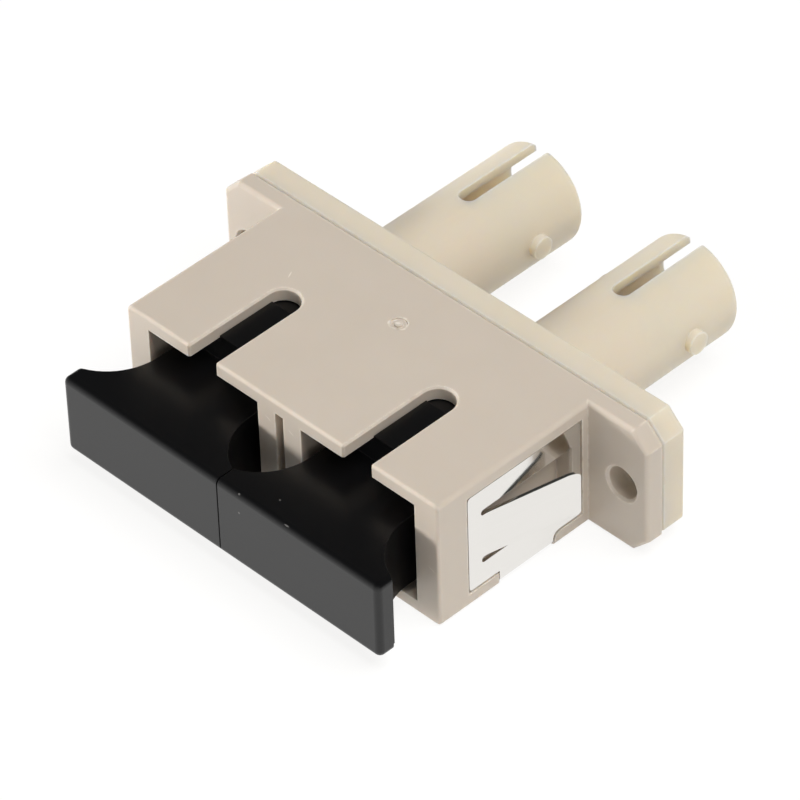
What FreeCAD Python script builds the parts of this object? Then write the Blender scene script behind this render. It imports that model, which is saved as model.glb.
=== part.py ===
import FreeCAD, Part
import math
import os
import re

import Sketcher

# Duplex fibre adapter: two push-in square ports on one side, two bayonet barrels on the other.
# Frame: the origin is the centre of the flange face that meets the panel. +Y runs along the ports
# towards the barrels, +X across the pair and +Z up, through the keyways. Sizes are millimetres.

NODES_FOLDER = "parts"
SHEET = "Sizes"
# Two places this close count as the same place
ON_EDGE = 0.02
QUARTER_TURN = math.pi / 2

# Port axes, across the pair
LEFT = "-port_pitch / 2"
RIGHT = "port_pitch / 2"
SIDES = (("left", LEFT), ("right", RIGHT))

# A sketch's own reference points and axes
START, END, CENTRE = 1, 2, 3
LEVEL_AXIS, UPRIGHT_AXIS = -1, -2
ORIGIN = (LEVEL_AXIS, START)

SIZES = {
    # Ports
    "port_pitch": (12.7, "distance between the two port axes"),
    "port_width": (9.15, "clear width of a square port"),
    "port_height": (7.4, "clear height of a square port"),
    "keyway_width": (2.2, "width of the keyway through the top wall"),
    "keyway_length": (7.6, "length of the keyway from the mouth to its round end"),
    "keyway_bevel": (0.12, "bevel along the top edge of a keyway"),
    # Shell of the square ports
    "shell_depth": (12.2, "from the mouth to the panel face of the flange"),
    "side_wall": (1.825, "outer wall beside a port"),
    "top_wall": (0.9, "wall above and below a port"),
    "shell_round": (0.35, "rounding of the shell's long edges"),
    "mouth_round": (0.2, "rounding of the edges round the mouth"),
    "core_gap": (0.65, "cored slot between the two port ribs"),
    "core_depth": (8.0, "depth of the cored slot"),
    "gate_setback": (2.5, "from the panel face to the gate mark on the top wall"),
    "gate_dimple": (1.05, "diameter of the sunken gate mark"),
    "gate_depth": (0.1, "depth of the gate mark"),
    "gate_stub": (0.5, "diameter of the gate's stub in the middle of its mark"),
    # Flange, split into a front and a rear half
    "ear_width": (4.65, "how far an ear stands out from the shell"),
    "front_flange": (1.35, "thickness of the flange half on the shell"),
    "rear_flange": (1.9, "thickness of the flange half behind the parting line"),
    "ear_corner": (1.2, "corner cut of the ears"),
    "ear_round": (0.3, "rounding of the flange's outer edges"),
    "parting_step": (0.08, "how far the rear half stands inside the front half"),
    "parting_bevel": (0.15, "bevel of both halves along the parting line"),
    "screw_offset": (2.6, "from the shell's side to a screw hole's axis"),
    "screw_hole": (2.2, "diameter of the screw holes"),
    "hole_bevel": (0.15, "bevel at the mouth of a screw hole"),
    # Latch inserts and their seats in the shell
    "seat_step": (0.6, "how far the seat is wider than the port on each side"),
    "seat_play": (0.05, "clearance all round in the seat"),
    "insert_plate": (1.35, "thickness of the latch insert's base plate"),
    "spigot_depth": (0.8, "how far the rear housing's spigots enter the seats"),
    "holder_wall": (0.65, "wall of the sleeve holder"),
    "holder_setback": (7.2, "from the mouth to the tip of the sleeve holder"),
    "holder_lip": (0.8, "lip that keeps the sleeve in its holder"),
    "arm_relief": (0.425, "room for a latch arm to bend towards the port wall"),
    "arm_thickness": (0.6, "thickness of a latch arm"),
    "arm_height": (3.2, "height of a latch arm"),
    "arm_setback": (3.8, "from the mouth to the tips of the latch arms"),
    "barb_depth": (0.4, "how far a barb stands in from its arm"),
    "barb_flat": (0.35, "flat on top of a barb"),
    "barb_lead": (0.9, "length of the slope at the tip of a barb"),
    # Alignment sleeves
    "sleeve_inner": (2.5, "inner diameter of the split sleeve"),
    "sleeve_wall": (0.35, "wall of the split sleeve"),
    "sleeve_length": (11.4, "length of the split sleeve"),
    "sleeve_slit": (0.5, "width of the slit along the sleeve"),
    "sleeve_play": (0.1, "clearance round the sleeve"),
    "sleeve_float": (0.3, "free travel at each end of the sleeve"),
    "ferrule_play": (0.1, "clearance round the ferrule in the lips"),
    # Bayonet barrels
    "barrel_bore": (5.5, "bore of a barrel"),
    "barrel_wall": (0.7, "wall of a barrel"),
    "bore_depth": (7.2, "depth of the bore from the rim"),
    "barrel_lip": (1.1, "wall between the bore and the sleeve chamber"),
    "barrel_root": (0.3, "bevel where a barrel leaves the flange"),
    "rim_round": (0.5, "rounding of the rim's outer edge"),
    "slot_width": (1.2, "width of the key slot in the rim"),
    "slot_length": (7.05, "length of the key slot from the rim to its round end"),
    "lug_diameter": (1.5, "diameter of a bayonet lug"),
    "lug_reach": (0.45, "how far a lug stands out of the barrel"),
    "lug_setback": (4.05, "from the rim to a lug's axis"),
    # Retaining clip, folded from sheet
    "clip_sheet": (0.22, "thickness of the sheet"),
    "clip_sink": (0.05, "how far the clip lies below the shell's surface"),
    "clip_play": (0.1, "gap round the clip in its recess"),
    "clip_setback": (0.6, "from the panel face to the clip's rear edge"),
    "clip_length": (9.15, "length of a side plate along the ports"),
    "clip_margin": (1.05, "shell left above and below a side plate"),
    "clip_bend": (0.25, "inside radius of the folds"),
    "strap_setback": (2.9, "from the panel face to the strap that joins the side plates"),
    "strap_width": (4.4, "width of the strap"),
    "strap_round": (0.5, "rounding where the strap leaves a side plate"),
    "plate_round": (0.25, "rounding of a side plate's corners"),
    "frame_front": (1.05, "sheet left in front of the tab's window"),
    "frame_rear": (0.7, "sheet left behind the tab's window"),
    "tab_width": (3.2, "width of a spring tab"),
    "tab_slit": (0.4, "slit above and below a tab"),
    "slit_round": (0.18, "rounding at the ends of the slits"),
    "tab_run": (5.55, "length of a tab along the ports, from its bend to its lip"),
    "tab_rise": (1.24, "how far a tab springs out at its lip"),
    "lip_run": (0.6, "length of the turned-out lip along the ports"),
    "lip_rise": (0.3, "how far the lip turns out further"),
    "tab_round": (0.3, "rounding of a tab's free corners"),
    "tab_bend": (1.5, "radius of the bends in a tab"),
    "tab_pocket": (1.0, "room behind a tab, below the floor of the recess"),
    # Dust caps
    "cap_gap": (0.1, "gap between the two cap handles"),
    "handle_overhang": (0.33, "how far a handle's outer end stands beyond half a pitch"),
    "handle_height": (5.57, "height of a handle"),
    "handle_lift": (0.22, "from the floor of the port to a handle's lower edge"),
    "handle_reach": (5.05, "from the mouth to the front of a handle"),
    "handle_plate": (1.1, "thickness of a handle below its neck"),
    "handle_round": (0.4, "rounding of a handle's front edges"),
    "handle_corner": (0.42, "rounding of a handle's outer corners"),
    "neck_lift": (0.55, "from a handle's lower edge to the underside of its neck"),
    "neck_play": (0.735, "room beside the neck in the port"),
    "flank_radius": (4.07, "radius of the finger hollows at the sides of the neck"),
    "neck_length": (2.3, "length of the neck inside the port"),
    "cap_play": (0.075, "clearance of the cap's plug in the port"),
    "cap_tip_gap": (2.0, "from the tip of the plug to the latch insert"),
    "latch_play": (0.2, "clearance between the plug's grooves and the latch arms"),
    "latch_lead": (0.6, "groove left in front of the arm tips"),
    "holder_play": (0.1, "clearance between the plug's bore and the sleeve holder"),
    "holder_gap": (0.6, "bore left in front of the sleeve holder"),
    "key_play": (0.15, "clearance of the plug's key in the keyway"),
    "key_rise": (0.3, "how far the key stands up into the keyway"),
}

DERIVED = {
    "shell_width": "port_pitch + port_width + 2 * side_wall",
    "shell_height": "port_height + 2 * top_wall",
    "flange_width": "shell_width + 2 * ear_width",
    "screw_place": "shell_width / 2 + screw_offset",
    "mouth": "-shell_depth",
    "rear_face": "front_flange + rear_flange",
    "seat_front": "front_flange - spigot_depth - insert_plate",
    "seat_width": "port_width + 2 * seat_step",
    "spigot_front": "front_flange - spigot_depth",
    "holder_tip": "mouth + holder_setback",
    "chamber_front": "holder_tip + holder_lip",
    "chamber_end": "chamber_front + sleeve_length + 2 * sleeve_float",
    "sleeve_outer": "sleeve_inner + 2 * sleeve_wall",
    "ferrule_hole": "sleeve_inner + 2 * ferrule_play",
    "chamber_bore": "sleeve_outer + 2 * sleeve_play",
    "holder_outer": "chamber_bore + 2 * holder_wall",
    "barrel_outer": "barrel_bore + 2 * barrel_wall",
    "bore_floor": "chamber_end + barrel_lip",
    "rim": "bore_floor + bore_depth",
    "arm_tip": "mouth + arm_setback",
    "arm_outside": "port_width / 2 - arm_relief",
    "arm_inside": "arm_outside - arm_thickness",
    "clip_seat": "clip_sheet + clip_sink",
    "clip_back": "-clip_setback",
    "clip_front": "clip_back - clip_length",
    "plate_top": "shell_height / 2 - clip_margin",
    "strap_back": "-strap_setback",
    "strap_front": "strap_back - strap_width",
    "clip_outside": "shell_width / 2 - clip_sink",
    "clip_under": "shell_height / 2 - clip_sink",
    "window_front": "clip_front + frame_front",
    "window_back": "clip_back - frame_rear",
    "window_half": "tab_width / 2 + tab_slit",
    "tab_root": "clip_front + frame_front / 2",
    "tab_fold": "window_front + tab_slit",
    "tab_lip": "tab_fold + tab_run",
    "tab_end": "tab_lip + lip_run",
    "plug_end": "seat_front - cap_tip_gap",
    "plug_front": "mouth + neck_length",
    "plug_half": "port_width / 2 - cap_play",
    "plug_top": "port_height / 2 - cap_play",
    "handle_low": "-port_height / 2 + handle_lift",
    "handle_high": "handle_low + handle_height",
    "handle_front": "mouth - handle_reach",
    "neck_low": "handle_low + neck_lift",
    "neck_width": "port_width - 2 * neck_play",
}

doc = FreeCAD.newDocument("fibre_adapter")
sheet = doc.addObject("Spreadsheet::Sheet", SHEET)
for row, (alias, (size, meaning)) in enumerate(SIZES.items(), start=1):
    sheet.set(f"A{row}", alias)
    sheet.set(f"B{row}", str(size))
    sheet.set(f"C{row}", meaning)
    sheet.setAlias(f"B{row}", alias)
doc.recompute()


def formula(text):
    """Spell out a formula: derived sizes are written in full, sheet sizes get the sheet's name."""
    def spell(match):
        word = match.group(0)
        if word in DERIVED:
            return f"({formula(DERIVED[word])})"
        return f"{SHEET}.{word}" if word in SIZES else word
    return re.sub(r"[a-z_]+", spell, text)


def value(text):
    """Work out a formula as a plain number of millimetres."""
    return float(sheet.evalExpression(formula(text)))


# Sketches: every point and radius is held by a constraint that is bound to the sheet

def new_sketch(body, name, plane, level="0"):
    """Start a sketch on a plane of its body's origin, moved along X, Y or Z to a level."""
    support = [item for item in body.Origin.OriginFeatures if item.Role == plane][0]
    sketch = body.newObject("Sketcher::SketchObject", name)
    sketch.AttachmentSupport = (support, [""])
    sketch.MapMode = "FlatFace"
    away = "-" if plane == "XZ_Plane" else ""
    sketch.setExpression("AttachmentOffset.Base.z", formula(f"{away}({level})"))
    return sketch


def hold(sketch, kind, references, size):
    """Add a constraint with a size, and bind that size to its formula."""
    index = sketch.addConstraint(Sketcher.Constraint(kind, *references, value(size)))
    sketch.renameConstraint(index, f"size_{index}")
    sketch.setExpression(f"Constraints.size_{index}", formula(size))


def hold_point(sketch, curve, end, point):
    """Hold one point of a curve at its place, on an axis where a coordinate is nought."""
    across, along = point
    if across == "0":
        sketch.addConstraint(Sketcher.Constraint("PointOnObject", curve, end, UPRIGHT_AXIS))
    else:
        hold(sketch, "DistanceX", (*ORIGIN, curve, end), across)
    if along == "0":
        sketch.addConstraint(Sketcher.Constraint("PointOnObject", curve, end, LEVEL_AXIS))
    else:
        hold(sketch, "DistanceY", (*ORIGIN, curve, end), along)


def spot(point):
    """Place a pair of formulas on the sketch plane."""
    return FreeCAD.Vector(value(point[0]), value(point[1]), 0)


def draw_polygon(sketch, points):
    """Draw a closed outline of straight lines through the given points."""
    first = sketch.GeometryCount
    count = len(points)
    for index, point in enumerate(points):
        following = points[(index + 1) % count]
        sketch.addGeometry(Part.LineSegment(spot(point), spot(following)))
    for index, point in enumerate(points):
        line, following = first + index, first + (index + 1) % count
        sketch.addConstraint(Sketcher.Constraint("Coincident", line, END, following, START))
        hold_point(sketch, line, START, point)


def draw_rectangle(sketch, left, right, low, high):
    """Draw an upright rectangle between four limits."""
    draw_polygon(sketch, [(left, low), (right, low), (right, high), (left, high)])


def draw_rounded_rectangle(sketch, left, right, low, high, radius):
    """Draw an upright rectangle between four limits, with round corners that run into its sides."""
    reach = value(radius)
    west, east, south, north = (value(limit) for limit in (left, right, low, high))
    ends = [
        ((west + reach, south), (east - reach, south)), ((east, south + reach), (east, north - reach)),
        ((east - reach, north), (west + reach, north)), ((west, north - reach), (west, south + reach)),
    ]
    middles = [(east - reach, south + reach), (east - reach, north - reach),
               (west + reach, north - reach), (west + reach, south + reach)]
    lines = [sketch.addGeometry(Part.LineSegment(FreeCAD.Vector(*start, 0), FreeCAD.Vector(*end, 0)))
             for start, end in ends]
    arcs = []
    for index, middle in enumerate(middles):
        circle = Part.Circle(FreeCAD.Vector(*middle, 0), FreeCAD.Vector(0, 0, 1), reach)
        start = (index - 1) * QUARTER_TURN
        arcs.append(sketch.addGeometry(Part.ArcOfCircle(circle, start, start + QUARTER_TURN)))
    following = lines[1:] + lines[:1]
    directions = ("Horizontal", "Vertical", "Horizontal", "Vertical")
    for line, arc, after, direction in zip(lines, arcs, following, directions):
        sketch.addConstraint(Sketcher.Constraint("Tangent", line, END, arc, START))
        sketch.addConstraint(Sketcher.Constraint("Tangent", arc, END, after, START))
        sketch.addConstraint(Sketcher.Constraint(direction, line))
    for arc in arcs[1:]:
        sketch.addConstraint(Sketcher.Constraint("Equal", arcs[0], arc))
    hold(sketch, "Radius", (arcs[0],), radius)
    for line, direction, limit in zip(lines, directions, (low, right, high, left)):
        hold(sketch, "DistanceY" if direction == "Horizontal" else "DistanceX", (*ORIGIN, line, START), limit)


def draw_circle(sketch, centre, diameter):
    """Draw a circle of a given diameter."""
    radius = value(diameter) / 2
    curve = sketch.addGeometry(Part.Circle(spot(centre), FreeCAD.Vector(0, 0, 1), radius))
    hold_point(sketch, curve, CENTRE, centre)
    hold(sketch, "Diameter", (curve,), diameter)


def draw_slot(sketch, middle, width, open_end, round_end, towards):
    """Draw a slot along Y with one square end and one round end.

    towards is + where the round end lies on the far side of the open end, and - where it lies before it.
    """
    left = f"{middle} - {width} / 2"
    right = f"{middle} + {width} / 2"
    centre_line = f"{round_end} {'-' if towards == '+' else '+'} {width} / 2"
    apex = spot((middle, round_end))
    first_side, last_side = spot((left, centre_line)), spot((right, centre_line))
    side = sketch.addGeometry(Part.LineSegment(spot((left, open_end)), first_side))
    end = sketch.addGeometry(Part.Arc(first_side, apex, last_side))
    other = sketch.addGeometry(Part.LineSegment(last_side, spot((right, open_end))))
    mouth = sketch.addGeometry(Part.LineSegment(spot((right, open_end)), spot((left, open_end))))
    start, finish = (END, START) if towards == "+" else (START, END)
    sketch.addConstraint(Sketcher.Constraint("Tangent", side, END, end, start))
    sketch.addConstraint(Sketcher.Constraint("Tangent", end, finish, other, START))
    sketch.addConstraint(Sketcher.Constraint("Coincident", other, END, mouth, START))
    sketch.addConstraint(Sketcher.Constraint("Coincident", mouth, END, side, START))
    sketch.addConstraint(Sketcher.Constraint("Vertical", side))
    sketch.addConstraint(Sketcher.Constraint("Vertical", other))
    hold_point(sketch, side, START, (left, open_end))
    hold_point(sketch, mouth, START, (right, open_end))
    hold(sketch, "DistanceY", (*ORIGIN, end, CENTRE), centre_line)


# Features

def new_body(name):
    """Start a sub-part."""
    body = doc.addObject("PartDesign::Body", name)
    body.Label = name
    return body


def require_sound(item):
    """Stop the build if an object failed."""
    if "Invalid" in item.State or "Error" in item.State:
        raise RuntimeError(f"{item.Label} failed: {item.State}")


def settle(feature):
    """Work out a new feature, and stop the build if it or its outline failed."""
    doc.recompute()
    for item in (feature, *feature.OutList):
        require_sound(item)
    return feature


def pad(body, name, sketch, length, both_ways=False):
    """Add material from a sketch towards +X, +Y or +Z, or both ways from its plane."""
    feature = body.newObject("PartDesign::Pad", name)
    feature.Profile = sketch
    feature.SideType = "Symmetric" if both_ways else "One side"
    feature.Reversed = sketch.AttachmentSupport[0][0].Role == "XZ_Plane"
    feature.setExpression("Length", formula(length))
    return settle(feature)


def cut(body, name, sketch, length, both_ways=False, backwards=False):
    """Remove material from a sketch towards -X, +Y or -Z, or the other way, or both ways.

    A cut that removes nothing points away from the solid and stops the build.
    """
    before = body.Shape.Volume
    feature = body.newObject("PartDesign::Pocket", name)
    feature.Profile = sketch
    feature.SideType = "Symmetric" if both_ways else "One side"
    feature.Reversed = backwards
    feature.setExpression("Length", formula(length))
    settle(feature)
    if not feature.Shape.Volume < before:
        raise RuntimeError(f"{name} cuts nothing")
    return feature


def dress_edges(body, name, kind, wanted, size_name, size):
    """Finish the edges of a body's last feature that pass a test on their box."""
    base = body.Tip
    names = [f"Edge{index}" for index, edge in enumerate(base.Shape.Edges, start=1)
             if wanted(edge.BoundBox)]
    if not names:
        raise RuntimeError(f"{name} finds no edges")
    feature = body.newObject(kind, name)
    feature.Base = (base, names)
    feature.setExpression(size_name, formula(size))
    return settle(feature)


def round_edges(body, name, wanted, radius):
    """Round the edges that pass a test on their box."""
    return dress_edges(body, name, "PartDesign::Fillet", wanted, "Radius", radius)


def bevel_edges(body, name, wanted, size):
    """Bevel the edges that pass a test on their box."""
    return dress_edges(body, name, "PartDesign::Chamfer", wanted, "Size", size)


def near(number, size):
    """Tell whether a number lies at the place that a formula gives."""
    return abs(number - value(size)) < ON_EDGE


def both_ports(make):
    """Draw the same outline round each of the two port axes."""
    for middle in (LEFT, RIGHT):
        make(middle)


def draw_flange(sketch, inset):
    """Draw the flange's outline with its cut corners."""
    side, top = f"(flange_width / 2 - {inset})", f"(shell_height / 2 - {inset})"
    flat, low = f"({side} - ear_corner)", f"({top} - ear_corner)"
    draw_polygon(sketch, [
        (f"-{flat}", f"-{top}"), (flat, f"-{top}"), (side, f"-{low}"), (side, low),
        (flat, top), (f"-{flat}", top), (f"-{side}", low), (f"-{side}", f"-{low}"),
    ])


def draw_screw_holes(sketch):
    """Draw the two screw holes of the flange."""
    for place in ("-screw_place", "screw_place"):
        draw_circle(sketch, (f"({place})", "0"), "screw_hole")


def draw_port_blocks(sketch, width, height):
    """Draw a rectangle on each port axis."""
    both_ports(lambda middle: draw_rectangle(
        sketch, f"{middle} - {width} / 2", f"{middle} + {width} / 2", f"-{height} / 2", f"{height} / 2"))


def draw_port_circles(sketch, diameter):
    """Draw a circle on each port axis."""
    both_ports(lambda middle: draw_circle(sketch, (middle, "0"), diameter))


def build_sc_housing():
    """Front shell: two square ports side by side, with the front half of the flange."""
    body = new_body("sc_housing")

    outline = new_sketch(body, "flange_outline", "XZ_Plane")
    draw_flange(outline, "0")
    pad(body, "front_flange_half", outline, "front_flange")
    round_edges(body, "ear_edges", lambda box: near(box.YMax, "0"), "ear_round")
    bevel_edges(body, "parting_edges", lambda box: near(box.YMin, "front_flange"), "parting_bevel")

    outline = new_sketch(body, "shell_outline", "XZ_Plane", "mouth")
    draw_rounded_rectangle(outline, "-shell_width / 2", "shell_width / 2",
                           "-shell_height / 2", "shell_height / 2", "shell_round")
    pad(body, "shell", outline, "shell_depth + front_flange - parting_bevel")
    round_edges(body, "mouth_edges", lambda box: near(box.YMax, "mouth"), "mouth_round")

    outline = new_sketch(body, "port_outlines", "XZ_Plane", "mouth")
    draw_port_blocks(outline, "port_width", "port_height")
    cut(body, "ports", outline, "shell_depth + front_flange")

    outline = new_sketch(body, "seat_outlines", "XZ_Plane", "seat_front")
    draw_port_blocks(outline, "seat_width", "port_height")
    cut(body, "insert_seats", outline, "front_flange - seat_front")

    outline = new_sketch(body, "core_outline", "XZ_Plane", "mouth")
    draw_rectangle(outline, "-core_gap / 2", "core_gap / 2", "-port_height / 2", "port_height / 2")
    cut(body, "rib_core", outline, "core_depth")

    outline = new_sketch(body, "keyway_outlines", "XY_Plane", "shell_height / 2")
    both_ports(lambda middle: draw_slot(
        outline, middle, "keyway_width", "mouth", "(mouth + keyway_length)", "+"))
    cut(body, "keyways", outline, "shell_height / 2")

    def along_keyway(box):
        """Tell whether an edge runs along the top of a keyway or down its front corners."""
        along_top = near(box.ZMin, "shell_height / 2")
        down_front = near(box.YMin, "mouth") and box.ZMax > value("port_height / 2") + ON_EDGE
        from_axis = abs(abs(box.Center.x) - value(RIGHT))
        beside = box.XLength < ON_EDGE and near(from_axis, "keyway_width / 2")
        round_end = near(box.XLength, "keyway_width")
        return beside and (along_top or down_front) or round_end and along_top

    bevel_edges(body, "keyway_edges", along_keyway, "keyway_bevel")

    outline = new_sketch(body, "gate_outline", "XY_Plane", "shell_height / 2")
    for diameter in ("gate_dimple", "gate_stub"):
        draw_circle(outline, ("0", "-gate_setback"), diameter)
    cut(body, "gate_mark", outline, "gate_depth")

    outline = new_sketch(body, "screw_hole_outlines", "XZ_Plane")
    draw_screw_holes(outline)
    cut(body, "screw_holes", outline, "front_flange")

    outline = new_sketch(body, "strap_channel_outline", "YZ_Plane")
    draw_rectangle(outline, "strap_front - clip_play", "strap_back + clip_play",
                   "-shell_height / 2", "-shell_height / 2 + clip_seat")
    cut(body, "strap_channel", outline, "shell_width", both_ways=True)

    for name, level, backwards in (("right", "shell_width / 2", False), ("left", "-shell_width / 2", True)):
        outline = new_sketch(body, f"{name}_recess_outline", "YZ_Plane", level)
        high, low, floor = "plate_top + clip_play", "-plate_top - clip_play", "-shell_height / 2"
        front, back = "clip_front - clip_play", "clip_back + clip_play"
        inner, outer = "strap_front - clip_play", "strap_back + clip_play"
        draw_polygon(outline, [
            (front, high), (front, low), (inner, low), (inner, floor),
            (outer, floor), (outer, low), (back, low), (back, high),
        ])
        cut(body, f"{name}_clip_recess", outline, "clip_seat", backwards=backwards)

        outline = new_sketch(body, f"{name}_pocket_outline", "YZ_Plane", level)
        draw_rectangle(outline, "window_front", "window_back", "-window_half", "window_half")
        cut(body, f"{name}_tab_pocket", outline, "clip_seat + tab_pocket", backwards=backwards)

    round_edges(body, "recess_corners", lambda box: near(box.XLength, "clip_seat")
                and near(box.YMin, "strap_back + clip_play") and near(box.YMax, "strap_back + clip_play")
                and near(box.ZMin, "-plate_top - clip_play"), "strap_round")
    fold_side, fold_floor = "shell_width / 2 - clip_seat", "-shell_height / 2 + clip_seat"
    round_edges(body, "fold_edges", lambda box: box.YLength > ON_EDGE and near(box.ZMin, fold_floor)
                and near(box.ZMax, fold_floor) and box.XLength < ON_EDGE
                and near(abs(box.XMax), fold_side), "clip_bend")
    bevel_edges(body, "screw_hole_edges", lambda box: near(box.YMin, "0") and near(box.YMax, "0")
                and near(box.XLength, "screw_hole") and near(box.ZLength, "screw_hole"), "hole_bevel")
    return body


def build_st_housing():
    """Rear housing: the rear half of the flange with the two bayonet barrels."""
    body = new_body("st_housing")

    outline = new_sketch(body, "plate_outline", "XZ_Plane", "front_flange")
    draw_flange(outline, "parting_step")
    pad(body, "rear_flange_half", outline, "rear_flange")
    round_edges(body, "plate_edges", lambda box: near(box.YMin, "rear_face"), "ear_round")
    bevel_edges(body, "parting_edges", lambda box: near(box.YMax, "front_flange"), "parting_bevel")

    outline = new_sketch(body, "barrel_outlines", "XZ_Plane", "rear_face")
    draw_port_circles(outline, "barrel_outer")
    pad(body, "barrels", outline, "rim - rear_face")
    round_edges(body, "rims", lambda box: near(box.YMin, "rim"), "rim_round")

    for name, middle in SIDES:
        outline = new_sketch(body, f"{name}_lug_outline", "YZ_Plane", middle)
        draw_circle(outline, ("rim - lug_setback", "0"), "lug_diameter")
        pad(body, f"{name}_lugs", outline, "barrel_outer + 2 * lug_reach", both_ways=True)

    outline = new_sketch(body, "spigot_outlines", "XZ_Plane", "spigot_front")
    draw_port_blocks(outline, "(seat_width - 2 * seat_play)", "(port_height - 2 * seat_play)")
    pad(body, "spigots", outline, "spigot_depth")

    outline = new_sketch(body, "bore_outlines", "XZ_Plane", "bore_floor")
    draw_port_circles(outline, "barrel_bore")
    cut(body, "bores", outline, "bore_depth")

    outline = new_sketch(body, "chamber_outlines", "XZ_Plane", "spigot_front")
    draw_port_circles(outline, "chamber_bore")
    cut(body, "sleeve_chambers", outline, "chamber_end - spigot_front")

    outline = new_sketch(body, "ferrule_outlines", "XZ_Plane", "chamber_end")
    draw_port_circles(outline, "ferrule_hole")
    cut(body, "ferrule_holes", outline, "barrel_lip")

    outline = new_sketch(body, "slot_outlines", "XY_Plane", "barrel_outer / 2")
    both_ports(lambda middle: draw_slot(outline, middle, "slot_width", "rim", "(rim - slot_length)", "-"))
    cut(body, "key_slots", outline, "barrel_outer / 2")

    outline = new_sketch(body, "screw_hole_outlines", "XZ_Plane", "front_flange")
    draw_screw_holes(outline)
    cut(body, "screw_holes", outline, "rear_flange")

    bevel_edges(body, "barrel_roots", lambda box: near(box.YMin, "rear_face") and near(box.YMax, "rear_face")
                and near(box.XLength, "barrel_outer"), "barrel_root")
    return body


def build_latch_insert(name, place):
    """Latch frame of one port: base plate, sleeve holder and two barbed arms."""
    body = new_body(name)
    body.setExpression("Placement.Base.x", formula(place))

    outline = new_sketch(body, "plate_outline", "XZ_Plane", "seat_front")
    draw_rectangle(outline, "-seat_width / 2 + seat_play", "seat_width / 2 - seat_play",
                   "-port_height / 2 + seat_play", "port_height / 2 - seat_play")
    pad(body, "base_plate", outline, "insert_plate")

    outline = new_sketch(body, "holder_outline", "XZ_Plane", "holder_tip")
    draw_circle(outline, ("0", "0"), "holder_outer")
    pad(body, "sleeve_holder", outline, "seat_front - holder_tip")

    outline = new_sketch(body, "arm_outlines", "XY_Plane")
    for side in ("-", ""):
        outer, inner = f"{side}(arm_outside)", f"{side}(arm_inside)"
        barb = f"{side}(arm_inside - barb_depth)"
        draw_polygon(outline, [
            (outer, "seat_front"), (outer, "arm_tip"), (inner, "arm_tip"),
            (barb, "arm_tip + barb_lead"), (barb, "arm_tip + barb_lead + barb_flat"),
            (inner, "arm_tip + barb_lead + barb_flat"), (inner, "seat_front"),
        ])
    pad(body, "latch_arms", outline, "arm_height", both_ways=True)

    outline = new_sketch(body, "chamber_outline", "XZ_Plane", "chamber_front")
    draw_circle(outline, ("0", "0"), "chamber_bore")
    cut(body, "sleeve_chamber", outline, "spigot_front - chamber_front")

    outline = new_sketch(body, "ferrule_outline", "XZ_Plane", "holder_tip")
    draw_circle(outline, ("0", "0"), "ferrule_hole")
    cut(body, "ferrule_hole_through_lip", outline, "holder_lip")
    return body


def build_alignment_sleeve(name, place):
    """Split tube that lines up the two ferrules of one channel."""
    body = new_body(name)
    body.setExpression("Placement.Base.x", formula(place))

    outline = new_sketch(body, "tube_outline", "XZ_Plane", "chamber_front + sleeve_float")
    draw_circle(outline, ("0", "0"), "sleeve_outer")
    draw_circle(outline, ("0", "0"), "sleeve_inner")
    pad(body, "tube", outline, "sleeve_length")

    outline = new_sketch(body, "slit_outline", "XZ_Plane", "chamber_front + sleeve_float")
    draw_rectangle(outline, "-sleeve_slit / 2", "sleeve_slit / 2", "0", "sleeve_outer")
    cut(body, "slit", outline, "sleeve_length")
    return body


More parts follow.
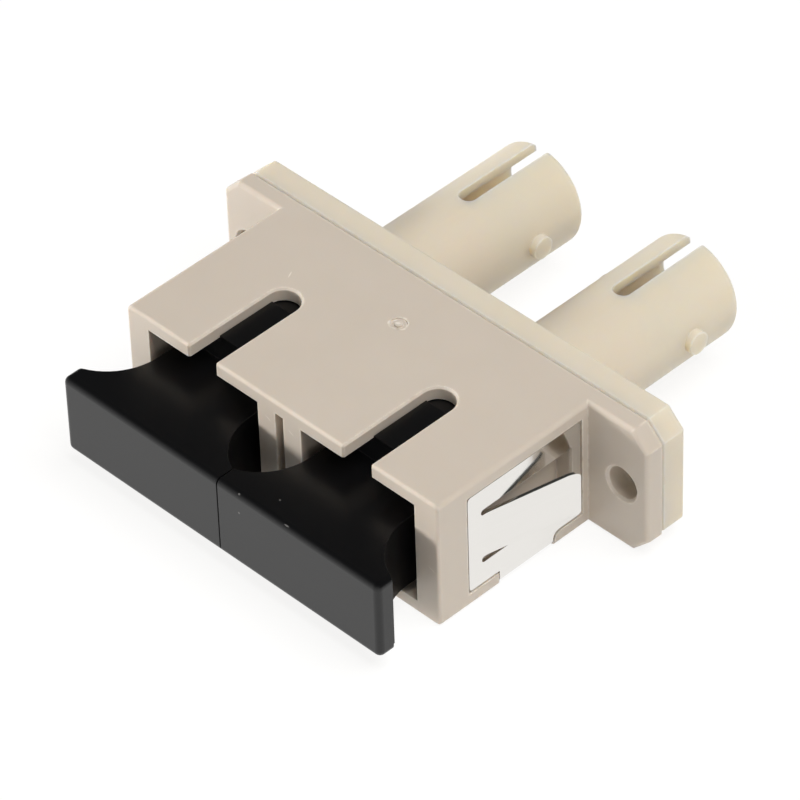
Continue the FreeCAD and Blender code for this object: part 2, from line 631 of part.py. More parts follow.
def build_dust_cap(name, place):
    """Black cap of one port: handle with finger hollows, neck and a plug that clears the latch.

    The handles meet in the middle of the pair and overhang a little at its ends.
    """
    body = new_body(name)
    body.setExpression("Placement.Base.x", formula(place))
    inner, outer = "port_pitch / 2 - cap_gap / 2", "port_pitch / 2 + handle_overhang"
    seam = f"-({inner})" if place == RIGHT else inner
    ends = (f"-({inner})", outer) if place == RIGHT else (f"-({outer})", inner)

    outline = new_sketch(body, "handle_outline", "XZ_Plane", "handle_front")
    draw_rectangle(outline, *ends, "handle_low", "handle_high")
    pad(body, "handle", outline, "handle_reach")

    def at_seam(box):
        """Tell whether an edge lies on the face that meets the other handle."""
        return near(box.XMin, seam) and near(box.XMax, seam)

    round_edges(body, "handle_corners", lambda box: box.YLength > ON_EDGE and not at_seam(box),
                "handle_corner")

    for side, sign in (("left", "-"), ("right", "")):
        outline = new_sketch(body, f"{side}_hollow_outline", "XY_Plane", "shell_height")
        draw_circle(outline, (f"{sign}(neck_width / 2 + flank_radius)", "mouth"), "2 * flank_radius")
        cut(body, f"{side}_finger_hollow", outline, "2 * shell_height")

    outline = new_sketch(body, "neck_outline", "XZ_Plane", "mouth")
    draw_rectangle(outline, "-neck_width / 2", "neck_width / 2", "handle_low", "handle_high")
    pad(body, "neck", outline, "plug_front - mouth")
    round_edges(body, "handle_edges", lambda box: near(box.YMax, "handle_front") and not at_seam(box),
                "handle_round")

    outline = new_sketch(body, "neck_relief_outline", "XZ_Plane", "handle_front + handle_plate")
    draw_rectangle(outline, "-port_pitch", "port_pitch", "-shell_height", "neck_low")
    cut(body, "neck_relief", outline, "plug_front - handle_front - handle_plate")

    outline = new_sketch(body, "plug_outline", "XZ_Plane", "plug_front")
    draw_rectangle(outline, "-plug_half", "plug_half", "-plug_top", "plug_top")
    pad(body, "plug", outline, "plug_end - plug_front")

    outline = new_sketch(body, "key_outline", "XZ_Plane", "plug_front")
    draw_rectangle(outline, "-keyway_width / 2 + key_play", "keyway_width / 2 - key_play",
                   "0", "port_height / 2 + key_rise")
    pad(body, "key", outline, "mouth + keyway_length - keyway_width / 2 - plug_front")

    groove_front = "arm_tip - latch_lead"
    outline = new_sketch(body, "groove_outlines", "XZ_Plane", groove_front)
    for side in ("-", ""):
        wall, floor = f"{side}(port_width / 2)", f"{side}(arm_inside - barb_depth - latch_play)"
        draw_rectangle(outline, floor, wall, "-arm_height / 2 - latch_play", "arm_height / 2 + latch_play")
    cut(body, "latch_grooves", outline, f"plug_end - ({groove_front})")

    bore_front = "holder_tip - holder_gap"
    outline = new_sketch(body, "bore_outline", "XZ_Plane", bore_front)
    draw_circle(outline, ("0", "0"), "holder_outer + 2 * holder_play")
    cut(body, "holder_bore", outline, f"plug_end - ({bore_front})")
    return body


def build_retaining_clip():
    """Folded sheet clip: a side plate with a spring tab on each flank, joined by a strap underneath."""
    body = new_body("retaining_clip")

    outline = new_sketch(body, "fold_outline", "XZ_Plane", "clip_front")
    side, floor = "clip_outside", "clip_under"
    inside, above = "(clip_outside - clip_sheet)", "(clip_under - clip_sheet)"
    draw_polygon(outline, [
        (f"-{side}", "plate_top"), (f"-{side}", f"-{floor}"),
        (side, f"-{floor}"), (side, "plate_top"),
        (inside, "plate_top"), (inside, f"-{above}"),
        (f"-{inside}", f"-{above}"), (f"-{inside}", "plate_top"),
    ])
    pad(body, "folded_sheet", outline, "clip_length")
    round_edges(body, "fold_outsides", lambda box: box.YLength > ON_EDGE and near(box.ZMax, f"-{floor}"),
                "clip_bend + clip_sheet")
    round_edges(body, "fold_insides", lambda box: box.YLength > ON_EDGE and near(box.ZMin, f"-{above}")
                and near(box.ZMax, f"-{above}") and box.XLength < ON_EDGE, "clip_bend")

    outline = new_sketch(body, "strap_sides", "YZ_Plane")
    below = "-shell_height"
    draw_rectangle(outline, "mouth", "strap_front", below, "-plate_top")
    draw_rectangle(outline, "strap_back", "0", below, "-plate_top")
    cut(body, "strap_trim", outline, "2 * shell_width", both_ways=True)

    outline = new_sketch(body, "window_outline", "YZ_Plane")
    draw_rectangle(outline, "window_front", "window_back", "-window_half", "window_half")
    cut(body, "tab_windows", outline, "2 * shell_width", both_ways=True)

    round_edges(body, "plate_corners", lambda box: box.XLength > ON_EDGE and near(box.XLength, "clip_sheet")
                and box.YLength < ON_EDGE and (near(box.YMin, "clip_front") or near(box.YMin, "clip_back")),
                "plate_round")
    round_edges(body, "strap_corners", lambda box: near(box.XLength, "clip_sheet")
                and near(box.YMin, "strap_back") and near(box.YMax, "strap_back")
                and near(box.ZMin, "-plate_top"), "strap_round")

    for name, sign in (("left", "-"), ("right", "")):
        outline = new_sketch(body, f"{name}_tab_outline", "XY_Plane")
        outside = [("clip_outside", "tab_root"), ("clip_outside", "tab_fold"),
                   ("clip_outside + tab_rise", "tab_lip"), ("clip_outside + tab_rise + lip_rise", "tab_end")]
        inside = [(f"{across} - clip_sheet", along) for across, along in reversed(outside)]
        draw_polygon(outline, [(f"{sign}({across})", along) for across, along in outside + inside])
        pad(body, f"{name}_tab", outline, "tab_width", both_ways=True)
    round_edges(body, "slit_ends", lambda box: near(box.XLength, "clip_sheet")
                and near(box.YMin, "window_front") and near(box.YMax, "window_front"), "slit_round")
    round_edges(body, "tab_corners", lambda box: near(box.XLength, "clip_sheet")
                and near(box.YMin, "tab_end") and near(box.YMax, "tab_end"), "tab_round")
    round_edges(body, "tab_bends", lambda box: near(box.ZLength, "tab_width") and box.YLength < ON_EDGE
                and (near(box.YMin, "tab_fold") or near(box.YMin, "tab_lip")), "tab_bend")
    return body


bodies = [build_sc_housing(), build_st_housing(), build_retaining_clip()]
for side_name, side_place in SIDES:
    bodies.append(build_latch_insert(f"latch_insert_{side_name}", side_place))
    bodies.append(build_alignment_sleeve(f"alignment_sleeve_{side_name}", side_place))
    bodies.append(build_dust_cap(f"dust_cap_{side_name}", side_place))
doc.recompute()

for item in doc.Objects:
    require_sound(item)
for body in bodies:
    if body.Shape.isNull() or not body.Shape.isValid() or len(body.Shape.Solids) != 1:
        raise RuntimeError(f"{body.Label} isn't one valid solid")

os.makedirs(NODES_FOLDER, exist_ok=True)
for body in bodies:
    body.Shape.exportStep(os.path.join(NODES_FOLDER, f"{body.Label}.step"))
    print(f"{body.Label}: {body.Shape.Volume:.2f} mm3, {len(body.Shape.Faces)} faces, {body.Shape.BoundBox}")
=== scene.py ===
"""Looks of a paired fibre adapter: moulded housings, a polished panel clip and satin black dust caps."""

import logging
import math
from dataclasses import dataclass
from enum import Enum

import bpy
from mathutils import Matrix, Vector


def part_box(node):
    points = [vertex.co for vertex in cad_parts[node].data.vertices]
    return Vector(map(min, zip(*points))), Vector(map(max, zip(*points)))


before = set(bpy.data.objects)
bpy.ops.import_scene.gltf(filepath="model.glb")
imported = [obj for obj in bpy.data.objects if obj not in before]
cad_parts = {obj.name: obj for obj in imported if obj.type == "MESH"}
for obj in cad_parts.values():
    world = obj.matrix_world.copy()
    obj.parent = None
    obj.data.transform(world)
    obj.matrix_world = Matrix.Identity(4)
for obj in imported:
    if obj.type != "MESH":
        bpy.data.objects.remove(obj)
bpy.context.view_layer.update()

LOG = logging.getLogger("adapter")
MM = 0.001
PER_MM = 1000.0

# Numbers of a Mix node's colour sockets, whose names other sockets share
MIX_FIRST, MIX_SECOND, MIX_RESULT = 6, 7, 2
# Rays that a Bevel node sends out
BEVEL_SAMPLES = 6
# Agreement of the rounded and the flat normal at which an edge starts to go paler and is fully paler
PALE_EDGE_LEAN = (0.998, 0.95)
# Level of the noise at which a paler patch of edge begins and is full
PALE_EDGE_PATCH = (0.3, 0.6)
# Share of a mark's reach at which it begins and is full
MARK_FADE = (1.0, 0.5)

Colour = tuple[float, float, float, float]
Triple = tuple[float, float, float]
Pair = tuple[float, float]
Socket = bpy.types.NodeSocket


def linear(red: int, green: int, blue: int) -> Colour:
    """Turn a display colour into the linear colour that a shader takes.

    Args:
        red: Red from 0 to 255, as shown on a screen.
        green: Green from 0 to 255.
        blue: Blue from 0 to 255.

    Returns:
        The linear colour with full opacity.
    """
    def channel(level: int) -> float:
        """Undo the display curve for one channel."""
        share = level / 255
        return share / 12.92 if share <= 0.04045 else ((share + 0.055) / 1.055) ** 2.4
    return channel(red), channel(green), channel(blue), 1.0


class Side(Enum):
    """The two channels of the pair."""

    LEFT = "left"
    RIGHT = "right"


class Graph:
    """A node tree that is filled node by node."""

    def __init__(self, tree: bpy.types.NodeTree) -> None:
        """Hold the tree that the nodes go into."""
        self.tree = tree

    def add(self, kind: str, inputs: dict | None = None, **settings: object) -> bpy.types.Node:
        """Add a node.

        Args:
            kind: Blender's name of the node type.
            inputs: Values or output sockets for the node's inputs, by name or number.
            settings: Properties of the node itself.

        Returns:
            The new node.
        """
        node = self.tree.nodes.new(kind)
        for name, setting in settings.items():
            setattr(node, name, setting)
        self.feed(node, inputs or {})
        return node

    def feed(self, node: bpy.types.Node, inputs: dict) -> None:
        """Link or set some inputs of a node.

        Args:
            node: The node.
            inputs: Values or output sockets for its inputs, by name or number.
        """
        for name, given in inputs.items():
            if isinstance(given, Socket):
                self.tree.links.new(given, node.inputs[name])
            else:
                node.inputs[name].default_value = given

    def math(self, operation: str, first: Socket, second: Socket | float) -> Socket:
        """Add a Math node and return its output."""
        return self.add("ShaderNodeMath", {0: first, 1: second}, operation=operation).outputs[0]

    def vector(self, operation: str, first: Socket, second: Socket | Triple) -> Socket:
        """Add a Vector Math node and return its vector."""
        inputs = {0: first, 1: second}
        return self.add("ShaderNodeVectorMath", inputs, operation=operation).outputs["Vector"]

    def dot(self, first: Socket, second: Socket | Triple) -> Socket:
        """Return how far two directions agree."""
        inputs = {0: first, 1: second}
        return self.add("ShaderNodeVectorMath", inputs, operation="DOT_PRODUCT").outputs["Value"]

    def noise(self, place: Socket, scale: Socket, detail: float, roughness: float) -> Socket:
        """Add a noise texture and return its level."""
        inputs = {"Vector": place, "Scale": scale, "Detail": detail, "Roughness": roughness}
        return self.add("ShaderNodeTexNoise", inputs).outputs[0]

    def spread(self, given: Socket, low: float, high: float) -> Socket:
        """Spread a share from 0 to 1 over a range of values."""
        inputs = {"Value": given, "To Min": low, "To Max": high}
        return self.add("ShaderNodeMapRange", inputs).outputs["Result"]

    def fade(self, given: Socket, low: float, high: float) -> Socket:
        """Fade smoothly from 0 at one value to 1 at another."""
        inputs = {"Value": given, "From Min": low, "From Max": high}
        return self.add("ShaderNodeMapRange", inputs, interpolation_type="SMOOTHSTEP").outputs["Result"]

    def blend(self, share: Socket, first: Socket | Colour, second: Colour) -> Socket:
        """Blend from one colour to another by a share from 0 to 1."""
        inputs = {"Factor": share, MIX_FIRST: first, MIX_SECOND: second}
        return self.add("ShaderNodeMix", inputs, data_type="RGBA").outputs[MIX_RESULT]


def empty_graph(owner: bpy.types.Material | bpy.types.World) -> Graph:
    """Clear the nodes of a material or a world.

    Args:
        owner: The material or the world.

    Returns:
        Its empty graph.
    """
    owner.use_nodes = True
    owner.node_tree.nodes.clear()
    return Graph(owner.node_tree)


def new_group(name: str, vectors: tuple[str, ...], values: tuple[str, ...],
              results: tuple[str, ...]) -> Graph:
    """Start a shader node group with named sockets.

    Args:
        name: The group's name.
        vectors: Names of its vector inputs.
        values: Names of its number inputs.
        results: Names of its outputs, which are numbers.

    Returns:
        The graph that fills the group.
    """
    graph = Graph(bpy.data.node_groups.new(name, "ShaderNodeTree"))
    sockets = graph.tree.interface
    for label in vectors:
        sockets.new_socket(label, in_out="INPUT", socket_type="NodeSocketVector")
    for label in values:
        sockets.new_socket(label, in_out="INPUT", socket_type="NodeSocketFloat")
    for label in results:
        sockets.new_socket(label, in_out="OUTPUT", socket_type="NodeSocketFloat")
    return graph


def moulded_grain_group() -> bpy.types.NodeTree:
    """Build the surface of a moulded part: cloudy tone, uneven gloss and a fine skin.

    Returns:
        A group with Tone, Gloss and Height, each about 0 to 1.
    """
    graph = new_group(
        "moulded_grain", ("Vector",), ("Cloud Scale", "Skin Scale"), ("Tone", "Gloss", "Height"))
    given = graph.add("NodeGroupInput").outputs
    cloud = graph.noise(given["Vector"], given["Cloud Scale"], detail=3.0, roughness=0.5)
    skin = graph.noise(given["Vector"], given["Skin Scale"], detail=2.0, roughness=0.6)
    mean = graph.math("MULTIPLY", graph.math("ADD", cloud, skin), 0.5)
    graph.add("NodeGroupOutput", {"Tone": cloud, "Gloss": mean, "Height": skin})
    return graph.tree


def pale_edge_group() -> bpy.types.NodeTree:
    """Build the mask of edges that are made paler in patches.

    Returns:
        A group with a Mask that is 1 on a paler edge patch and 0 away from edges.
    """
    graph = new_group("pale_edges", ("Vector", "Normal"), ("Reach", "Patch Scale"), ("Mask",))
    given = graph.add("NodeGroupInput").outputs
    rounded = graph.add("ShaderNodeBevel", {"Radius": given["Reach"]}, samples=BEVEL_SAMPLES)
    edge = graph.fade(graph.dot(rounded.outputs[0], given["Normal"]), *PALE_EDGE_LEAN)
    patches = graph.noise(given["Vector"], given["Patch Scale"], detail=4.0, roughness=0.6)
    mask = graph.math("MULTIPLY", edge, graph.fade(patches, *PALE_EDGE_PATCH))
    graph.add("NodeGroupOutput", {"Mask": mask})
    return graph.tree


def mark_group() -> bpy.types.NodeTree:
    """Build the mask of one small mark, such as a streak or speck, at a place on a surface.

    Returns:
        A group with a Mask that is 1 inside the mark and fades out at its edge.
    """
    graph = new_group("surface_mark", ("Vector", "Centre", "Turn", "Reach"), (), ("Mask",))
    given = graph.add("NodeGroupInput").outputs
    offset = graph.vector("SUBTRACT", given["Vector"], given["Centre"])
    turned = graph.add("ShaderNodeVectorRotate", {"Vector": offset, "Rotation": given["Turn"]},
                       rotation_type="EULER_XYZ", invert=True)
    share = graph.vector("DIVIDE", turned.outputs[0], given["Reach"])
    length = graph.add("ShaderNodeVectorMath", {0: share}, operation="LENGTH")
    graph.add("NodeGroupOutput", {"Mask": graph.fade(length.outputs["Value"], *MARK_FADE)})
    return graph.tree


@dataclass(frozen=True)
class Mark:
    """A small pale mark, such as a streak or speck, in millimetres: where it is, its reach along its own
    axes and its turn.
    """

    centre: Triple
    reach: Triple
    turn_deg: Triple = (0.0, 0.0, 0.0)

    def turn(self) -> Triple:
        """Return the turn in radians."""
        return tuple(math.radians(angle) for angle in self.turn_deg)


@dataclass(frozen=True)
class Relief:
    """Softened edges with a fine relief over them, in millimetres apart from the strength."""

    edge: float
    strength: float
    depth: float

    def lay(self, graph: Graph, height: Socket) -> Socket:
        """Add the relief to a material's graph.

        Args:
            graph: The material's graph.
            height: The relief's height, about 0 to 1.

        Returns:
            The normal for the shader.
        """
        soft = graph.add("ShaderNodeBevel", {"Radius": self.edge * MM}, samples=BEVEL_SAMPLES)
        return graph.add("ShaderNodeBump", {
            "Strength": self.strength, "Distance": self.depth * MM, "Height": height,
            "Normal": soft.outputs[0]}).outputs[0]


class Effects:
    """Shader groups that several finishes share."""

    def __init__(self) -> None:
        """Build each group once."""
        self.grain = moulded_grain_group()
        self.edge_paling = pale_edge_group()
        self.mark = mark_group()

    def place(self, graph: Graph) -> Socket:
        """Return the place on the object in millimetres, for a material's graph."""
        coordinates = graph.add("ShaderNodeTexCoord").outputs["Object"]
        return graph.vector("MULTIPLY", coordinates, (PER_MM, PER_MM, PER_MM))

    def grained(self, graph: Graph, place: Socket, cloud: float, skin: float) -> bpy.types.Node:
        """Add the moulded grain to a material's graph and return its node."""
        inputs = {"Vector": place, "Cloud Scale": cloud, "Skin Scale": skin}
        return graph.add("ShaderNodeGroup", inputs, node_tree=self.grain)

    def paled_edges(self, graph: Graph, place: Socket, reach: float, patch_scale: float) -> Socket:
        """Add the mask of paler edge patches to a material's graph.

        Args:
            graph: The material's graph.
            place: The place on the object in millimetres.
            reach: How far the paling goes from the edge in millimetres.
            patch_scale: How finely the paling is broken up.

        Returns:
            The mask.
        """
        normal = graph.add("ShaderNodeNewGeometry").outputs["True Normal"]
        inputs = {"Vector": place, "Normal": normal, "Reach": reach * MM, "Patch Scale": patch_scale}
        return graph.add("ShaderNodeGroup", inputs, node_tree=self.edge_paling).outputs["Mask"]

    def marked(self, graph: Graph, place: Socket, marks: tuple[Mark, ...]) -> Socket | None:
        """Add the masks of some marks to a material's graph.

        Args:
            graph: The material's graph.
            place: The place on the object in millimetres.
            marks: The marks on this surface.

        Returns:
            One mask for all of them, or None where there are none.
        """
        whole = None
        for mark in marks:
            inputs = {"Vector": place, "Centre": mark.centre, "Turn": mark.turn(), "Reach": mark.reach}
            mask = graph.add("ShaderNodeGroup", inputs, node_tree=self.mark).outputs["Mask"]
            whole = mask if whole is None else graph.math("MAXIMUM", whole, mask)
        return whole


def start_material(name: str) -> tuple[bpy.types.Material, Graph, bpy.types.Node]:
    """Start a material.

    Args:
        name: The material's name.

    Returns:
        The material, its graph and its shader, which is linked to the output.
    """
    material = bpy.data.materials.new(name)
    graph = empty_graph(material)
    shader = graph.add("ShaderNodeBsdfPrincipled")
    graph.add("ShaderNodeOutputMaterial", {"Surface": shader.outputs[0]})
    return material, graph, shader


@dataclass(frozen=True)
class MouldedPlastic:
    """Satin moulded plastic that lets a little light in and goes pale along its edges."""

    name: str
    light: Colour
    deep: Colour
    pale_tint: Colour
    rough: Pair = (0.34, 0.46)
    glow_share: float = 0.25
    glow: Triple = (1.0, 0.65, 0.4)
    glow_reach: float = 0.5
    edge_paling: float = 0.9
    paling_reach: float = 0.22
    paling_scale: float = 1.6
    cloud_scale: float = 0.22
    skin_scale: float = 9.0
    relief: Relief = Relief(edge=0.06, strength=0.12, depth=0.01)

    def make(self, effects: Effects, marks: tuple[Mark, ...] = ()) -> bpy.types.Material:
        """Make the material.

        Args:
            effects: The shared shader groups.
            marks: Small pale marks on this surface.

        Returns:
            The finished material.
        """
        material, graph, shader = start_material(self.name)
        place = effects.place(graph)
        grain = effects.grained(graph, place, self.cloud_scale, self.skin_scale).outputs
        # Edges go paler in patches, blending towards the pale mark colour
        paled_edges = effects.paled_edges(graph, place, self.paling_reach, self.paling_scale)
        pale = graph.math("MULTIPLY", paled_edges, self.edge_paling)
        # Small pale marks blend towards the same pale mark colour as the edges
        pale_marks = effects.marked(graph, place, marks)
        if pale_marks is not None:
            pale = graph.math("MAXIMUM", pale, pale_marks)
        colour = graph.blend(grain["Tone"], self.deep, self.light)
        graph.feed(shader, {
            "Base Color": graph.blend(pale, colour, self.pale_tint),
            "Roughness": graph.spread(grain["Gloss"], *self.rough),
            "Subsurface Weight": self.glow_share,
            "Subsurface Radius": self.glow,
            "Subsurface Scale": self.glow_reach * MM,
            "Normal": self.relief.lay(graph, grain["Height"])})
        return material


@dataclass(frozen=True)
class PolishedSheet:
    """Bright rolled steel sheet, slightly wavy, with faint rolling lines along its length."""

    name: str
    bright: Colour
    dull: Colour
    rough: Pair = (0.09, 0.13)
    line_stretch: Triple = (2.0, 0.15, 18.0)
    line_cloud_scale: float = 0.5
    line_skin_scale: float = 1.6
    wave_cloud_scale: float = 0.35
    wave_skin_scale: float = 0.8
    relief: Relief = Relief(edge=0.03, strength=0.05, depth=0.02)

    def make(self, effects: Effects) -> bpy.types.Material:
        """Make the material.

        Args:
            effects: The shared shader groups.

        Returns:
            The finished material.
        """
        material, graph, shader = start_material(self.name)
        place = effects.place(graph)
        stretched = graph.vector("MULTIPLY", place, self.line_stretch)
        lines = effects.grained(graph, stretched, self.line_cloud_scale, self.line_skin_scale).outputs
        waves = effects.grained(graph, place, self.wave_cloud_scale, self.wave_skin_scale).outputs
        graph.feed(shader, {
            "Base Color": graph.blend(lines["Tone"], self.dull, self.bright),
            "Roughness": graph.spread(lines["Gloss"], *self.rough),
            "Metallic": 1.0,
            "Normal": self.relief.lay(graph, waves["Height"])})
        return material


@dataclass(frozen=True)
class SatinBlack:
    """Black plastic with an even satin gloss."""

    name: str
    light: Colour
    deep: Colour
    pale_tint: Colour
    rough: Pair = (0.28, 0.36)
    cloud_scale: float = 0.3
    skin_scale: float = 7.0
    relief: Relief = Relief(edge=0.05, strength=0.1, depth=0.01)

    def make(self, effects: Effects, marks: tuple[Mark, ...] = ()) -> bpy.types.Material:
        """Make the material.

        Args:
            effects: The shared shader groups.
            marks: Scratches and specks on this surface.

        Returns:
            The finished material.
        """
        material, graph, shader = start_material(self.name)
        place = effects.place(graph)
        grain = effects.grained(graph, place, self.cloud_scale, self.skin_scale).outputs
        colour = graph.blend(grain["Tone"], self.deep, self.light)
        specks = effects.marked(graph, place, marks)
        if specks is not None:
            colour = graph.blend(specks, colour, self.pale_tint)
        graph.feed(shader, {
            "Base Color": colour,
            "Roughness": graph.spread(grain["Gloss"], *self.rough),
            "Normal": self.relief.lay(graph, grain["Height"])})
        return material


@dataclass(frozen=True)
class SpringBronze:
    """Ground bronze of the split sleeves."""

    name: str
    bright: Colour
    dull: Colour
    rough: Pair = (0.18, 0.34)
    cloud_scale: float = 0.8
    skin_scale: float = 12.0
    relief: Relief = Relief(edge=0.03, strength=0.08, depth=0.01)

    def make(self, effects: Effects) -> bpy.types.Material:
        """Make the material.

        Args:
            effects: The shared shader groups.

        Returns:
            The finished material.
        """
        material, graph, shader = start_material(self.name)
        place = effects.place(graph)
        grain = effects.grained(graph, place, self.cloud_scale, self.skin_scale).outputs
        graph.feed(shader, {
            "Base Color": graph.blend(grain["Tone"], self.dull, self.bright),
            "Roughness": graph.spread(grain["Gloss"], *self.rough),
            "Metallic": 1.0,
            "Normal": self.relief.lay(graph, grain["Height"])})
        return material


PORT_BEIGE = MouldedPlastic(
    "port_beige", light=linear(207, 195, 181), deep=linear(201, 189, 174), pale_tint=linear(228, 218, 205))
BARREL_CREAM = MouldedPlastic(
    "barrel_cream", light=linear(224, 213, 195), deep=linear(219, 207, 187), pale_tint=linear(232, 224, 210),
    rough=(0.38, 0.5), glow_share=0.85, glow=(1.0, 0.84, 0.55), glow_reach=1.8)
INSERT_CREAM = MouldedPlastic(
    "insert_cream", light=linear(220, 208, 190), deep=linear(213, 200, 181), pale_tint=linear(230, 221, 206))
CLIP_STEEL = PolishedSheet("polished_steel", bright=linear(233, 231, 228), dull=linear(229, 227, 223))
CAP_BLACK = SatinBlack(
    "cap_black", light=linear(11, 11, 12), deep=linear(8, 8, 9), pale_tint=linear(96, 94, 92))
SLEEVE_BRONZE = SpringBronze("ground_bronze", bright=linear(214, 164, 112), dull=linear(196, 144, 92))


def dress(node: str, material: bpy.types.Material) -> None:
    """Give a carried-over node its finish.

    Args:
        node: The node's name.
        material: Its material.
    """
    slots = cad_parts[node].data.materials
    slots.clear()
    slots.append(material)
    LOG.info("dressed %s in %s", node, material.name)


@dataclass
class PortShell:
    """Front housing with the square ports."""

    node: str = "sc_housing"
    # Small pale streaks on the top, the rib fronts and the right wall's front
    marks: tuple[Mark, ...] = (
        Mark((-7.76, -3.76, 4.6), (0.05, 0.36, 0.05), (0.0, 0.0, 25.0)),
        Mark((-0.94, -12.2, 2.97), (0.3, 0.05, 0.04), (0.0, 28.0, 0.0)),
        Mark((0.95, -12.2, 2.98), (0.3, 0.05, 0.04), (0.0, 28.0, 0.0)),
        Mark((12.2, -12.2, -0.48), (0.34, 0.05, 0.04), (0.0, 24.0, 0.0)),
    )
    # Pale flecks in a ring round the gate dimple on the top
    gate_ring_flecks: tuple[Mark, ...] = (
        Mark((-0.50, -2.80, 4.6), (0.22, 0.12, 0.3), (0.0, 0.0, -60.0)),
        Mark((0.02, -2.93, 4.6), (0.32, 0.11, 0.3), (0.0, 0.0, 5.0)),
        Mark((0.50, -2.70, 4.6), (0.24, 0.13, 0.3), (0.0, 0.0, 50.0)),
        Mark((0.40, -2.20, 4.6), (0.32, 0.12, 0.3), (0.0, 0.0, 125.0)),
        Mark((-0.05, -1.93, 4.6), (0.18, 0.09, 0.3), (0.0, 0.0, 10.0)),
        Mark((-0.44, -2.35, 4.6), (0.22, 0.09, 0.3), (0.0, 0.0, 70.0)),
        Mark((-0.06, -2.50, 4.6), (0.22, 0.14, 0.3), (0.0, 0.0, 35.0)),
    )

    def build(self, effects: Effects) -> None:
        """Dress the housing in beige, with small pale streaks and pale flecks ringing the gate."""
        dress(self.node, PORT_BEIGE.make(effects, self.marks + self.gate_ring_flecks))


@dataclass
class BarrelHousing:
    """Rear housing with the bayonet barrels."""

    node: str = "st_housing"

    def build(self, effects: Effects) -> None:
        """Dress the housing in cream."""
        dress(self.node, BARREL_CREAM.make(effects))


@dataclass
class PanelClip:
    """Folded spring clip."""

    node: str = "retaining_clip"

    def build(self, effects: Effects) -> None:
        """Dress the clip in polished steel."""
        dress(self.node, CLIP_STEEL.make(effects))


@dataclass
class Channels:
    """Latch frames and split sleeves inside the two channels."""

    latch: str = "latch_insert"
    sleeve: str = "alignment_sleeve"

    def build(self, effects: Effects) -> None:
        """Dress the inner pieces of both channels in cream and bronze.

        Args:
            effects: The shared shader groups.
        """
        cream = INSERT_CREAM.make(effects)
        bronze = SLEEVE_BRONZE.make(effects)
        for side in Side:
            dress(f"{self.latch}_{side.value}", cream)
            dress(f"{self.sleeve}_{side.value}", bronze)


@dataclass
class DustCaps:
    """Black caps with finger hollows."""

    node: str = "dust_cap"
    marks: tuple[Mark, ...] = (
        Mark((5.6, -17.1, 2.02), (0.25, 0.06, 0.06)),
        Mark((3.85, -15.92, 2.09), (0.07, 0.07, 0.06)),
        Mark((1.79, -17.25, 0.68), (0.09, 0.05, 0.09)),
        Mark((1.74, -17.15, 2.02), (0.12, 0.12, 0.08)),
    )

    def build(self, effects: Effects) -> None:
        """Dress both caps in black, with specks on the right one.

        Args:
            effects: The shared shader groups.
        """
        black = CAP_BLACK.make(effects, self.marks)
        for side in Side:
            dress(f"{self.node}_{side.value}", black)


def stand(name: str, data: bpy.types.ID) -> bpy.types.Object:
    """Put an object into the scene.

    Args:
        name: The object's name.
        data: Its mesh, light or camera.

    Returns:
        The new object.
    """
    thing = bpy.data.objects.new(name, data)
    bpy.context.scene.collection.objects.link(thing)
    return thing


@dataclass
class Lamp:
    """A soft box, aimed at the object, that leaves no highlight of its own on edges."""

    name: str
    place: Triple
    size: Pair
    power: float

    def build(self, aim: Vector) -> None:
        """Hang the soft box and turn it to the object.

        Args:
            aim: The point that it faces.
        """
        data = bpy.data.lights.new(self.name, "AREA")
        data.shape = "RECTANGLE"
        data.size, data.size_y = self.size
        data.energy = self.power
        lamp = stand(self.name, data)
        lamp.location = self.place
        lamp.rotation_euler = (aim - Vector(self.place)).to_track_quat("-Z", "Y").to_euler()
        lamp.visible_glossy = False


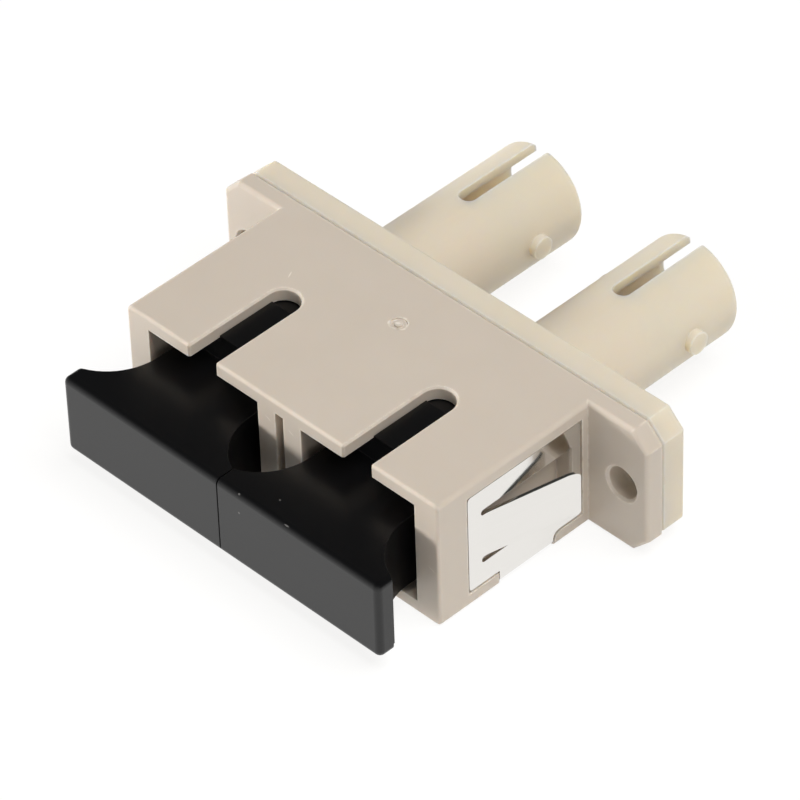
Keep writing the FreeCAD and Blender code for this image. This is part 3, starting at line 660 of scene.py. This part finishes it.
@dataclass
class Studio:
    """Pale floor, soft light and the camera."""

    lens: float = 254.09
    azimuth_deg: float = 46.415
    elevation_deg: float = 41.356
    roll_deg: float = -2.0
    distance: float = 0.328927
    target: Triple = (0.000903, -0.003475, -0.000125)
    clip: Pair = (0.01, 10.0)
    floor_size: float = 3.0
    paper: Colour = (0.95, 0.95, 0.945, 1.0)
    paper_shade: Colour = (0.16, 0.16, 0.16, 1.0)
    paper_white: Colour = (1.0, 0.995, 0.985, 1.0)
    paper_shine: float = 0.86
    backdrop: Colour = (1.0, 1.0, 1.0, 1.0)
    sky: float = 0.06
    screen: float = 0.6
    screen_aim: Triple = (0.0, -1.0, 0.0)
    screen_sides: Pair = (-0.1, 0.4)
    screen_top: Pair = (0.75, 0.35)
    lamps: tuple[Lamp, ...] = (
        Lamp("front", (-0.52, -0.42, 0.08), (0.45, 0.14), 4.0),
        Lamp("top", (0.20, 0.04, 0.495), (0.4, 0.4), 2.95),
    )

    def place_camera(self) -> None:
        """Stand the camera where the view is taken from."""
        turn, rise, roll = (math.radians(a) for a in (self.azimuth_deg, self.elevation_deg, self.roll_deg))
        back = Vector((math.sin(turn) * math.cos(rise), -math.cos(turn) * math.cos(rise), math.sin(rise)))
        across = Vector((math.cos(turn), math.sin(turn), 0.0))
        upright = back.cross(across)
        right = across * math.cos(roll) + upright * math.sin(roll)
        above = upright * math.cos(roll) - across * math.sin(roll)
        data = bpy.data.cameras.new("camera")
        data.lens = self.lens
        data.clip_start, data.clip_end = self.clip
        camera = stand("camera", data)
        facing = Matrix((right, above, back)).transposed().to_4x4()
        camera.matrix_world = Matrix.Translation(Vector(self.target) + back * self.distance) @ facing
        bpy.context.scene.camera = camera

    def floor_paper(self) -> bpy.types.Material:
        """Make the floor's paper, which looks white but still takes the object's shadow.

        Returns:
            The material.
        """
        material = bpy.data.materials.new("floor_paper")
        graph = empty_graph(material)
        rays = graph.add("ShaderNodeLightPath").outputs
        seen = graph.math("MAXIMUM", rays["Is Camera Ray"], rays["Is Glossy Ray"])
        seen = graph.math("MAXIMUM", seen, rays["Is Transmission Ray"])
        paper = graph.add("ShaderNodeBsdfDiffuse", {"Color": self.paper})
        shade = graph.add("ShaderNodeBsdfDiffuse", {"Color": self.paper_shade})
        shine = graph.add("ShaderNodeEmission", {"Color": self.paper_white, "Strength": self.paper_shine})
        white = graph.add("ShaderNodeAddShader", {0: shade.outputs[0], 1: shine.outputs[0]})
        mixed = graph.add("ShaderNodeMixShader", {0: seen, 1: paper.outputs[0], 2: white.outputs[0]})
        graph.add("ShaderNodeOutputMaterial", {"Surface": mixed.outputs[0]})
        return material

    def lay_floor(self) -> None:
        """Lay the pale floor under the object."""
        half = self.floor_size / 2
        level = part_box("sc_housing")[0].z
        mesh = bpy.data.meshes.new("floor")
        corners = [(-half, -half, level), (half, -half, level), (half, half, level), (-half, half, level)]
        mesh.from_pydata(corners, [], [(0, 1, 2, 3)])
        mesh.materials.append(self.floor_paper())
        floor = stand("floor", mesh)

    def light(self) -> None:
        """Set a dim surround with a pale screen in front, white to the camera, and hang the lamps."""
        world = bpy.data.worlds.new("studio")
        bpy.context.scene.world = world
        graph = empty_graph(world)
        seen = graph.add("ShaderNodeLightPath").outputs["Is Camera Ray"]
        aim = graph.add("ShaderNodeTexCoord").outputs["Generated"]
        rise = graph.add("ShaderNodeSeparateXYZ", {0: aim}).outputs["Z"]
        across = graph.fade(graph.dot(aim, self.screen_aim), *self.screen_sides)
        share = graph.math("MULTIPLY", across, graph.fade(rise, *self.screen_top))
        strength = graph.math("MAXIMUM", graph.spread(share, self.sky, self.screen), seen)
        surround = graph.add("ShaderNodeBackground", {"Color": self.backdrop, "Strength": strength})
        graph.add("ShaderNodeOutputWorld", {"Surface": surround.outputs[0]})
        for lamp in self.lamps:
            lamp.build(Vector(self.target))

    def build(self) -> None:
        """Set up the camera, the floor, the light and the plain view."""
        self.place_camera()
        self.lay_floor()
        self.light()
        bpy.context.scene.view_settings.view_transform = "Standard"


def main() -> None:
    """Dress every piece, then set up the studio."""
    logging.basicConfig(level=logging.INFO)
    effects = Effects()
    for assembly in (PortShell(), BarrelHousing(), PanelClip(), Channels(), DustCaps()):
        assembly.build(effects)
    Studio().build()


if __name__ == "__main__":
    main()
